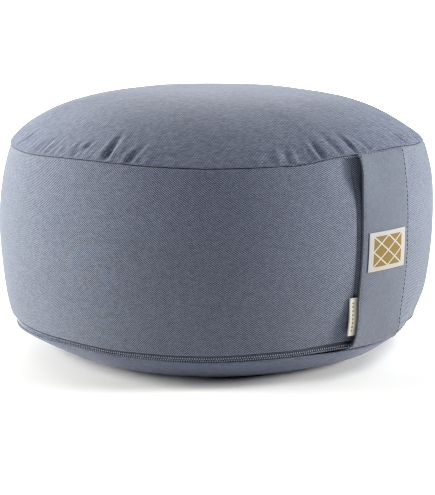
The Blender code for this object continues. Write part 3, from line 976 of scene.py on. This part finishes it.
def facing(spot: Vector, run: Vector, away: Vector) -> Matrix:
    """A frame at a spot with X along run and Z as near to away as it can be."""
    along = run.normalized()
    rise = away.cross(along).normalized()
    return frame_of(spot, along, rise, along.cross(rise))


def beads(
    name: str, frames: Sequence[Matrix], size: tuple[float, float, float],
    segments: tuple[int, int] = (8, 6),
) -> bpy.types.Object:
    """Sets a small rounded bead in each frame.

    Args:
        name: the piece's name.
        frames: where the beads stand, in metres.
        size: a bead's size in millimetres along the frame's axes.
        segments: faces round a bead, and rows of faces from its pole to its pole.

    Returns:
        The joined beads, linked to the scene.
    """
    bm = bmesh.new()
    number = bm.verts.layers.int.new("number")
    shape = Matrix.Scale(MM, 4) @ Matrix.Diagonal((*size, 1.0))
    bmesh.ops.create_uvsphere(
        bm, u_segments=segments[0], v_segments=segments[1], radius=0.5, matrix=shape
    )
    made = 1
    while made < len(frames):
        short = len(frames) - made
        copied = [vert for vert in bm.verts if vert[number] < short]
        faces = dict.fromkeys(face for vert in copied for face in vert.link_faces)
        for item in bmesh.ops.duplicate(bm, geom=[*copied, *faces])["geom"]:
            if isinstance(item, bmesh.types.BMVert):
                item[number] += made
        made += min(made, short)
    for vert in bm.verts:
        vert.co = frames[vert[number]] @ vert.co
    return finish_mesh(name, bm, sharp=180.0)


# ---- panels
@dataclass
class TopPanel:
    """The domed disc of cloth whose rim is eased into the top seam."""

    form: CushionForm
    crown_radii: tuple[float, ...] = (18, 36, 52, 66, 78, 88, 96, 103, 109)
    rim: Point = (112.0, 140.6)
    rim_rows: int = 22
    edge: tuple[Point, ...] = ((141.35, 0.55), (141.6, 0.2), (141.4, -0.1), (140.6, -0.25))
    hem_radii: tuple[float, ...] = (139.0, 137.0, 134.0, 130.0, 125.0, 119.0, 112.0, 96.0, 60.0)
    turned_in: float = 1.0
    # the same cloth as the band, with colours set darker than the band's to match how the crown is
    # lit: painted shade
    finish: Finish = TwillFinish(
        "top_twill_painted_shade", light=(0.158, 0.185, 0.258), dark=(0.034, 0.041, 0.056), yarn=0.00074,
        turn=28.0, wander=2.5, float_tone=0.5, sheen_tint=(0.87, 0.93, 1.08),
    )

    def build(self) -> None:
        """Builds and dresses the panel."""
        lathe = Lathe("top_cloth", self.form, disc=True)
        lathe.cover(self.form.crown, (0.0, *self.crown_radii, *spread(*self.rim, self.rim_rows)))
        sewn = lathe.lengths()[-1] + self.turned_in
        lathe.trace(self.form.seam_height, self.edge)
        lathe.cover(self.form.crown_back, (*self.hem_radii, 0.0))
        panel = lathe.build()
        attach(panel, "top_panel", self.finish)


@dataclass
class SideBand:
    """The filled body, whose open face is the bulging band between the two seams."""

    form: CushionForm
    core_radii: tuple[float, ...] = (60, 96, 112, 122, 130, 135, 138)
    groove: tuple[Point, ...] = ((139.6, -0.9), (140.6, -0.5), (141.35, -0.58), (141.8, -1.05))
    band_rows: int = 56
    band_ends: Point = (1.7, 1.6)
    lump_fade: float = 6.0
    fold: tuple[Point, ...] = ((0.15, 0.9), (-0.25, 0.35), (-0.9, 0.05), (-1.9, 0.1))
    slot_top: Point = (136.3, 0.2)
    slot_foot: Point = (134.6, 1.9)
    slot_sewn: float = 2.2
    base_radii: tuple[float, ...] = (131.5, 127.0, 121.5, 115.5, 109.0)
    finish: Finish = TwillFinish("band_twill", turn=96.4)

    def face(self, level: float, angle: float) -> Point:
        """Radius and height on the open face; level is 0 at its top and 1 at the fold."""
        top = self.form.seam_height(angle) - self.band_ends[0]
        height = blend(top, self.form.fold_height(angle) + self.band_ends[1], level)
        fade = smooth(self.lump_fade * min(level, 1.0 - level))
        uneven = fade * self.form.lumps(self.form.seam_radius, angle, height)
        return (self.form.band_radius(angle, height) + uneven, height)

    def lower_fold(self, spot: Point, angle: float) -> Point:
        """Radius and height on the rounded lower fold, closed on the base where it is sewn."""
        height = self.form.fold_height(angle) + spot[1]
        sewn = self.form.band_radius(angle, height) + spot[0]
        opened = self.form.fold_radius + spot[0]
        return (blend(sewn, opened, self.form.zip_share(angle)), height)

    def slot(self, spot: Point, line: Line, angle: float) -> Point:
        """Radius and height on the filling's wall behind the zip, at a rise over a line."""
        sewn = self.form.base_edge(angle) + self.slot_sewn
        return (spot[0], blend(sewn, line(angle) + spot[1], self.form.zip_share(angle)))

    def build(self) -> None:
        """Builds and dresses the filled body."""
        lathe = Lathe("band_cloth", self.form)
        lathe.cover(self.form.under_crown, (0.0, *self.core_radii))
        lathe.trace(self.form.seam_height, self.groove)
        lathe.rings += [partial(self.face, level) for level in spread(0.0, 1.0, self.band_rows)]
        lathe.rings += [partial(self.lower_fold, spot) for spot in self.fold]
        lathe.rings.append(partial(self.slot, self.slot_top, self.form.fold_height))
        lathe.rings.append(partial(self.slot, self.slot_foot, self.form.base_edge))
        lathe.cover(self.form.over_base, self.base_radii)
        lathe.level(self.form.cloth + self.form.gap, 1.0, 0.0)
        band = lathe.build()
        attach(band, "side_band", self.finish)


@dataclass
class BasePanel:
    """The disc of cloth under the cushion, flat where it rests and turned up at its rim."""

    form: CushionForm
    rise_rows: int = 17
    edge: tuple[Point, ...] = ((138.15, -0.55), (138.0, -0.15), (137.3, 0.0), (136.4, -0.35))
    inner_radii: tuple[float, ...] = (135.0, 131.5, 127.0, 121.5, 115.5, 109.0)
    turned_in: float = 1.0
    # the same cloth as the band, with colours scaled apart from the band's to match how the base is
    # lit: painted light and shade
    finish: Finish = TwillFinish(
        "base_twill_painted_light_and_shade", light=(0.147, 0.176, 0.256), dark=(0.055, 0.067, 0.100), yarn=0.00074,
        turn=28.0, wander=2.5, float_tone=0.4,
    )

    def outer(self, level: float, angle: float) -> Point:
        """Radius and height on the outer face; level is 0 at the flat's edge and 1 at the rim."""
        radius = blend(self.form.flat_radius(angle), self.form.base_radius, level)
        return (radius, self.form.base_face(radius, angle))

    def build(self) -> None:
        """Builds and dresses the panel."""
        lathe = Lathe("base_cloth", self.form, disc=True)
        lathe.level(0.0, 0.0, 0.5)
        lathe.rings += [partial(self.outer, level) for level in spread(0.0, 1.0, self.rise_rows)]
        sewn = lathe.lengths()[-1] + self.turned_in
        lathe.trace(self.form.base_edge, self.edge)
        lathe.cover(self.form.base_back, self.inner_radii)
        lathe.level(self.form.cloth, 1.0, 0.0)
        panel = lathe.build()
        attach(panel, "base_panel", self.finish)


# ---- strap
@dataclass(frozen=True)
class StrapForm:
    """Where the strap runs over the band; aside is measured from its middle line."""

    form: CushionForm
    width: float = 46.4
    thickness: float = 1.6
    stitch_inset: float = 1.5
    stitch_pitch: float = 2.9
    groove_depth: float = 0.32
    groove_width: float = 0.55
    tug: float = 0.3
    pressed: float = 0.5
    pressed_length: float = 4.0
    bow: float = 1.5
    bow_top: float = 146.0
    bow_span: float = 90.0
    bow_spread: float = 0.4

    @property
    def edge(self) -> float:
        """How far aside the right edge is."""
        return 0.5 * self.width

    def clearance(self, column: str, height: float) -> float:
        """Reads one column of the strap's stations.

        Args:
            column: the name of the value that is read.
            height: where it is read.

        Returns:
            The value between the two stations beside the height.
        """
        stations = enumerate(STRAP_STATIONS[:-1])
        here = max((i for i, row in stations if row.height <= height), default=0)
        below, above = STRAP_STATIONS[here], STRAP_STATIONS[here + 1]
        share = clamp((height - below.height) / (above.height - below.height))
        return blend(getattr(below, column), getattr(above, column), share)

    def inner_radius(self, across: float, height: float) -> float:
        """Radius of the strap's inner face; across is -1 to 1."""
        side = self.clearance("left" if across < 0.0 else "right", height)
        middle = self.clearance("middle", height)
        return self.form.belly_radius(0.0, height) + blend(middle, side, across * across)

    def turned(self, aside: float, radius: float, height: float) -> float:
        """Angle in degrees of a place on the strap, which bows to its left, most at that edge."""
        share = 1.0 - self.bow_spread * aside / self.edge
        bowed = aside - self.bow * share * smooth((self.bow_top - height) / self.bow_span)
        return math.degrees(math.asin(bowed / radius))

    def at(self, aside: float, out: float, height: float) -> Vector:
        """A point out millimetres over the strap's inner face."""
        across = min(max(aside / self.edge, -1.0), 1.0)
        radius = self.inner_radius(across, height) + out
        return self.form.at(radius, self.turned(aside, radius, height), height)

    def groove(self, aside: float, height: float) -> float:
        """Depth of the stitched grooves along both edges."""
        far = (abs(aside) - self.edge + self.stitch_inset) / self.groove_width
        wave = math.cos(2.0 * math.pi * height / self.stitch_pitch)
        return self.groove_depth * (1.0 - self.tug + self.tug * wave) * bell(far)

    def squeeze(self, height: float) -> float:
        """Share of the thickness that is left: the ends are pressed into the seams."""
        near = min(STRAP_TOP - height, height - STRAP_FOOT) / self.pressed_length
        return blend(self.pressed, 1.0, smooth(near))


@dataclass
class CarryStrap:
    """The folded strip over the band, edge-stitched and caught in both seams."""

    shape: StrapForm
    rows: int = 150
    face_points: int = 64
    # the strap's own twill with a finer weave; its colours were scaled to match how the strap is
    # lit, which is painted light and shade
    finish: Finish = TwillFinish(
        "strap_twill_painted_light_and_shade", dark=(0.050, 0.057, 0.077), light=(0.150, 0.171, 0.219), yarn=0.00038
    )

    def point(self, aside: float, out: float, height: float) -> Vector:
        """A point of the strap's surface."""
        share = out / self.shape.thickness
        raised = out * self.shape.squeeze(height) - share * self.shape.groove(aside, height)
        return self.shape.at(aside, raised, height)

    def build(self) -> None:
        """Builds and dresses the strap."""
        heights = spread(STRAP_FOOT, STRAP_TOP, self.rows)
        strap = Strip(
            "strap_cloth", self.shape.edge, self.shape.thickness, heights, self.point,
            face_points=self.face_points,
        ).build()
        middle = [self.point(0.0, 0.0, height) for height in heights]
        attach(strap, "carry_strap", self.finish)


@dataclass
class StrapLabel:
    """The small woven label on the strap."""

    shape: StrapForm
    width: float = 35.8
    height: float = 25.1
    centre: Point = (-0.6, 83.4)
    thickness: float = 0.45
    lifted: float = 0.2
    rows: int = 28
    finish: Finish = MotifFinish(
        "ivory_satin", (0.35, 0.335, 0.32), half_size=(13.6, 9.8), cell=(13.6, 9.8), line=0.13
    )

    def point(self, aside: float, out: float, height: float) -> Vector:
        """A point of the label's surface, just over the strap."""
        raised = self.shape.thickness + self.lifted + out
        return self.shape.at(aside + self.centre[0], raised, height + self.centre[1])

    def build(self) -> None:
        """Builds and dresses the label."""
        heights = spread(-0.5 * self.height, 0.5 * self.height, self.rows)
        label = Strip(
            "strap_label_cloth", 0.5 * self.width, self.thickness, heights, self.point
        ).build()
        attach(label, "strap_label", self.finish)


@dataclass
class SideTag:
    """The folded ribbon tag whose hidden end lies against the back of the strap's left edge."""

    shape: StrapForm
    foot: float = 30.4
    height: float = 24.7
    shown: float = 5.2
    hidden: float = 4.9
    thickness: float = 1.0
    rows: int = 26
    face_points: int = 12

    def finish(self) -> MotifFinish:
        """Its look, with the motif in the middle of the part that shows."""
        return MotifFinish(
            "ivory_ribbon", (0.52, 0.50, 0.44), half_size=(0.5, 9.5), cell=(4.0, 2.6), line=0.3,
            middle=(-0.5 * self.hidden, self.foot + 0.5 * self.height),
        )

    def point(self, aside: float, out: float, height: float) -> Vector:
        """A point of the tag's surface, behind the strap's inner face."""
        place = aside + 0.5 * (self.hidden - self.shown) - self.shape.edge
        across = -min(-place / self.shape.edge, 1.0)
        behind = self.shape.form.gap + self.thickness - out
        radius = self.shape.inner_radius(across, height) - behind
        return self.shape.form.at(radius, self.shape.turned(place, radius, height), height)

    def build(self) -> None:
        """Builds and dresses the tag."""
        heights = spread(self.foot, self.foot + self.height, self.rows)
        width = self.shown + self.hidden
        tag = Strip(
            "side_tag_ribbon", 0.5 * width, self.thickness, heights, self.point,
            face_points=self.face_points,
        ).build()
        attach(tag, "side_tag", self.finish())


# ---- zip
@dataclass
class Zip:
    """The woven tape in the bottom seam's slot and the two meshed rows of the closed coil."""

    form: CushionForm
    first: float = -160.0
    last: float = -5.0
    tape_width: float = 10.0  # the whole tape, most of it hidden
    tape_top: Point = (138.3, -0.7)
    tape_foot: Point = (136.9, 0.5)
    tape_thickness: float = 1.0
    tape_rows: int = 200
    face_points: int = 10
    edge_points: int = 2
    coil_short: float = 1.0
    coil_pitch: float = 1.5
    coil_length: float = 1.6
    coil_wire: float = 0.75
    coil_aside: float = 0.85
    coil_drop: float = 0.45
    coil_tilt: float = 14.0
    coil_sunk: float = 0.35
    run_step: float = 0.05  # degrees
    # the tape is coloured dark both for its own navy and for the shade that the band's lower fold
    # casts into the slot: partly its own colour and partly painted shade
    tape_finish_with_painted_shade: Finish = ThreadFinish("tape_cloth", (0.051, 0.064, 0.100))
    coil_finish: Finish = ThreadFinish("coil_plastic", (0.34, 0.39, 0.50), 0.35)

    def ends(self, angle: float) -> tuple[Point, Point]:
        """Lower and upper end of the tape's outer face, as radius and height."""
        foot = (self.tape_foot[0], self.form.base_edge(angle) + self.tape_foot[1])
        return foot, (self.tape_top[0], self.form.fold_height(angle) + self.tape_top[1])

    def half_width(self, angle: float) -> float:
        """Half of the tape's shown width."""
        return 0.5 * math.dist(*self.ends(angle))

    def at(self, up: float, out: float, angle: float) -> Vector:
        """A point beside the middle of the tape's outer face; up and out are in millimetres."""
        foot, top = (Vector(end) for end in self.ends(angle))
        along = (top - foot).normalized()
        radius, height = 0.5 * (foot + top) + up * along + out * Vector((along.y, -along.x))
        return self.form.at(radius, angle, height)

    def frame(self, up: float, out: float, angle: float) -> Matrix:
        """A place on the tape: X runs along the zip, Y up the tape and Z out of it."""
        spot = self.at(up, out, angle)
        before, after = (self.at(up, out, angle + side * self.run_step) for side in (-1, 1))
        run = (after - before).normalized()
        away = (self.at(up, out + 1.0, angle) - spot).normalized()
        return frame_of(spot, run, away.cross(run), away)

    def tape_point(self, aside: float, out: float, angle: float) -> Vector:
        """A point of the tape; aside is a share of its half width."""
        return self.at(aside * self.half_width(angle), out - self.tape_thickness, angle)

    def build_tape(self) -> None:
        """Builds and dresses the tape."""
        arc = math.radians(1.0) * self.tape_top[0]
        tape = Strip(
            "zip_tape_cloth", 1.0, self.tape_thickness,
            spread(self.first, self.last, self.tape_rows), self.tape_point, station_length=arc,
            face_points=self.face_points, edge_points=self.edge_points,
        ).build()
        shown = 2.0 * self.half_width(0.5 * (self.first + self.last)) * MM
        attach(tape, "zip_tape", self.tape_finish_with_painted_shade)

    def build_coil(self) -> None:
        """Builds and dresses both rows of the coil, from one small rounded link."""
        degrees = math.degrees(self.coil_pitch / self.tape_top[0])
        first, last = self.first + self.coil_short, self.last - self.coil_short
        out = self.coil_sunk + 0.5 * self.coil_wire
        frames = []
        for number in range(int((last - first) / degrees)):
            for side in (-1.0, 1.0):
                angle = first + (number + 0.25 * (1.0 + side)) * degrees  # half a pitch apart
                tilt = Matrix.Rotation(math.radians(side * self.coil_tilt), 4, "Z")
                up = side * self.coil_aside - self.coil_drop
                frames.append(self.frame(up, out, angle) @ tilt)
        coil = beads("zip_coil_links", frames, (self.coil_wire, self.coil_length, self.coil_wire))
        attach(coil, "zip_coil", self.coil_finish)


# ---- stitches
@dataclass
class Stitching:
    """All the rows of stitches that show: short threads, each a small rounded bar."""

    form: CushionForm
    shape: StrapForm
    pitch: float = 2.9
    length: float = 1.9
    thread: float = 0.5
    segments: tuple[int, int] = (6, 5)
    seam_spot: Point = (141.35, -0.4)
    seam_spans: tuple[Point, ...] = (
        (-29.0, -23.0), (-14.0, -9.6), (10.0, 27.0), (94.0, 107.0), (178.0, 190.0)
    )
    shut_spot: Point = (138.8, 0.15)
    shut_span: Point = (9.8, 192.0)
    strap_ends: Point = (20.3, 145.4)
    strap_margins: Point = (3.0, 1.5)
    left_sunk: float = 0.32
    right_sunk: float = 0.05
    run_turn: float = 0.2  # degrees
    run_step: float = 0.5
    finish: Finish = ThreadFinish("navy_thread", (0.012, 0.016, 0.03))

    def round_seam(self, line: Line, spot: Point, span: Point) -> list[Matrix]:
        """Frames along a seam.

        Args:
            line: the seam's height at an angle.
            spot: the stitches' radius, and their rise over the line.
            span: the first and the last angle.

        Returns:
            A frame for each stitch.
        """
        step = math.degrees(self.pitch / self.form.seam_radius)
        frames = []
        for number in range(int((span[1] - span[0]) / step)):
            angle = span[0] + number * step
            here, after = (
                self.form.at(spot[0], turned, line(turned) + spot[1])
                for turned in (angle, angle + self.run_turn)
            )
            frames.append(facing(here, after - here, Vector((here.x, here.y, 0.0))))
        return frames

    def on_strap(self, aside: float, out: float, height: float, way: Point) -> Matrix:
        """A frame on the strap whose X runs the given way, aside and up."""
        here = self.shape.at(aside, out, height)
        run = self.shape.at(aside + way[0], out, height + way[1]) - here
        return facing(here, run, self.shape.at(aside, out + 1.0, height) - here)

    def strap_edge(self, side: float, sunk: float) -> list[Matrix]:
        """Frames along one edge of the strap.

        Args:
            side: -1 for the left edge, 1 for the right one.
            sunk: how deep the stitches lie in the cloth.

        Returns:
            A frame for each stitch.
        """
        aside = side * (self.shape.edge - self.shape.stitch_inset)
        out = self.shape.thickness - sunk
        foot, top = STRAP_FOOT + self.strap_margins[0], STRAP_TOP - self.strap_margins[1]
        pitch = self.shape.stitch_pitch
        return [
            self.on_strap(aside, out, foot + number * pitch, (0.0, self.run_step))
            for number in range(int((top - foot) / pitch) + 1)
        ]

    def strap_end(self, height: float) -> list[Matrix]:
        """Frames across the strap where it is caught in a seam.

        Args:
            height: the seam's height at the strap.

        Returns:
            A frame for each stitch.
        """
        count = int(self.shape.width / self.pitch)
        out = self.shape.thickness * self.shape.squeeze(height)
        return [
            self.on_strap((number + 0.5 - 0.5 * count) * self.pitch, out, height,
                          (self.run_step, 0.0))
            for number in range(count)
        ]

    def sew(self, name: str, frames: Sequence[Matrix]) -> None:
        """Lays a thread in each frame, as one dressed piece."""
        row = beads(name, frames, (self.length, self.thread, self.thread), self.segments)
        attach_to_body(row, ROOT_BODY)
        self.finish.dress(row)
        log.info("%s: %d stitches", name, len(frames))

    def build(self) -> None:
        """Builds every row."""
        foot, top = (self.strap_end(height) for height in self.strap_ends)
        seam = [
            frame for span in self.seam_spans
            for frame in self.round_seam(self.form.seam_height, self.seam_spot, span)
        ]
        shut = self.round_seam(self.form.base_edge, self.shut_spot, self.shut_span)
        self.sew("top_seam_stitches", seam + top)
        self.sew("foot_seam_stitches", shut + foot)
        self.sew("strap_left_stitches", self.strap_edge(-1.0, self.left_sunk))
        self.sew("strap_right_stitches", self.strap_edge(1.0, self.right_sunk))


# ---- studio
WARM_LIGHT = (1.0, 0.975, 0.91)


@dataclass(frozen=True)
class SoftLight:
    """A soft box that faces the cushion, in metres; azimuth 0 is the camera's side."""

    name: str
    azimuth: float
    elevation: float
    power: float
    size: float = 1.1
    colour: Rgb = (1.0, 1.0, 1.0)
    distance: float = 1.6


@dataclass
class Studio:
    """The pale floor, the lights and the camera; lengths are in metres."""

    view_azimuth: float = 43.2
    camera_distance: float = 1.18865
    camera_height: float = 0.29314
    camera_aside: float = 0.00106
    pitch: float = 10.906
    yaw: float = 0.063
    roll: float = 0.209
    focal_pixels: float = 1733.73
    frame_long_side: float = 495.0
    sensor: float = 36.0  # millimetres
    clip: Point = (0.05, 60.0)
    floor_radius: float = 14.0
    floor_sides: int = 96
    floor_finish: Finish = FloorFinish("pale_floor")
    target_height: float = 0.09
    filter_width: float = 1.1
    lights: tuple[SoftLight, ...] = (
        SoftLight("left_box", -95.0, 12.0, 62.8, colour=WARM_LIGHT),
        SoftLight("left_back_box", -120.0, 12.0, 12.4, colour=WARM_LIGHT),
        SoftLight("left_high_box", -150.0, 32.0, 13.4),
        SoftLight("right_box", 93.0, 12.0, 40.5, 0.55, WARM_LIGHT),
        SoftLight("right_high_box", 120.0, 48.0, 3.4, 0.8),
        SoftLight("right_front_box", 80.0, 48.0, 14.0, 0.8),
    )

    def build_camera(self) -> None:
        """Places the camera at the photograph's viewpoint."""
        back = polar(self.camera_distance, self.view_azimuth - 90.0, self.camera_height)
        right = polar(self.camera_aside, self.view_azimuth, 0.0)
        data = bpy.data.cameras.new("photo_camera")
        data.sensor_width = self.sensor
        data.lens = self.focal_pixels * self.sensor / self.frame_long_side
        data.clip_start, data.clip_end = self.clip
        camera = linked("photo_camera", data)
        heading = Matrix.Rotation(math.radians(self.view_azimuth - self.yaw), 4, "Z")
        tilt = Matrix.Rotation(math.radians(90.0 - self.pitch), 4, "X")
        bank = Matrix.Rotation(math.radians(self.roll), 4, "Z")
        camera.matrix_world = Matrix.Translation(back + right) @ heading @ tilt @ bank
        bpy.context.scene.camera = camera

    def build_floor(self) -> None:
        """Makes the pale floor, whose finish glows away from the cushion."""
        bm = bmesh.new()
        sides, radius = self.floor_sides, self.floor_radius
        bmesh.ops.create_circle(bm, cap_ends=True, segments=sides, radius=radius)
        floor = finish_mesh("studio_floor", bm)
        self.floor_finish.dress(floor)

    def build_light(self, light: SoftLight) -> None:
        """Makes one soft box and turns it towards the cushion.

        Args:
            light: its place, size, power and colour.
        """
        rise = math.radians(light.elevation)
        turn = light.azimuth + self.view_azimuth - 90.0
        away = polar(math.cos(rise), turn, math.sin(rise))
        data = bpy.data.lights.new(light.name, "AREA")
        data.shape = "DISK"
        data.size = light.size
        data.energy = light.power
        data.color = light.colour
        spot = Vector((0.0, 0.0, self.target_height)) + away * light.distance
        facing_in = away.to_track_quat("Z", "Y").to_matrix().to_4x4()
        linked(light.name, data).matrix_world = Matrix.Translation(spot) @ facing_in

    def build(self) -> None:
        """Sets up the camera, the floor, the lights and a dark world."""
        self.build_camera()
        self.build_floor()
        for light in self.lights:
            self.build_light(light)
        scene = bpy.context.scene
        scene.world = bpy.data.worlds.new("studio_world")
        scene.world.use_nodes = True
        scene.world.node_tree.nodes["Background"].inputs["Strength"].default_value = 0.0
        scene.view_settings.view_transform = "Standard"
        scene.cycles.filter_width = self.filter_width
        scene.cycles.denoising_prefilter = "NONE"


# ---- main
def main() -> None:
    """Loads the frame, builds every piece and sets up the studio."""
    logging.basicConfig(level=logging.INFO, format="%(message)s")
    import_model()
    form = CushionForm()
    shape = StrapForm(form)
    TopPanel(form).build()
    SideBand(form).build()
    BasePanel(form).build()
    CarryStrap(shape).build()
    StrapLabel(shape).build()
    SideTag(shape).build()
    closing = Zip(form)
    closing.build_tape()
    closing.build_coil()
    Stitching(form, shape).build()
    Studio().build()


if __name__ == "__main__":
    main()
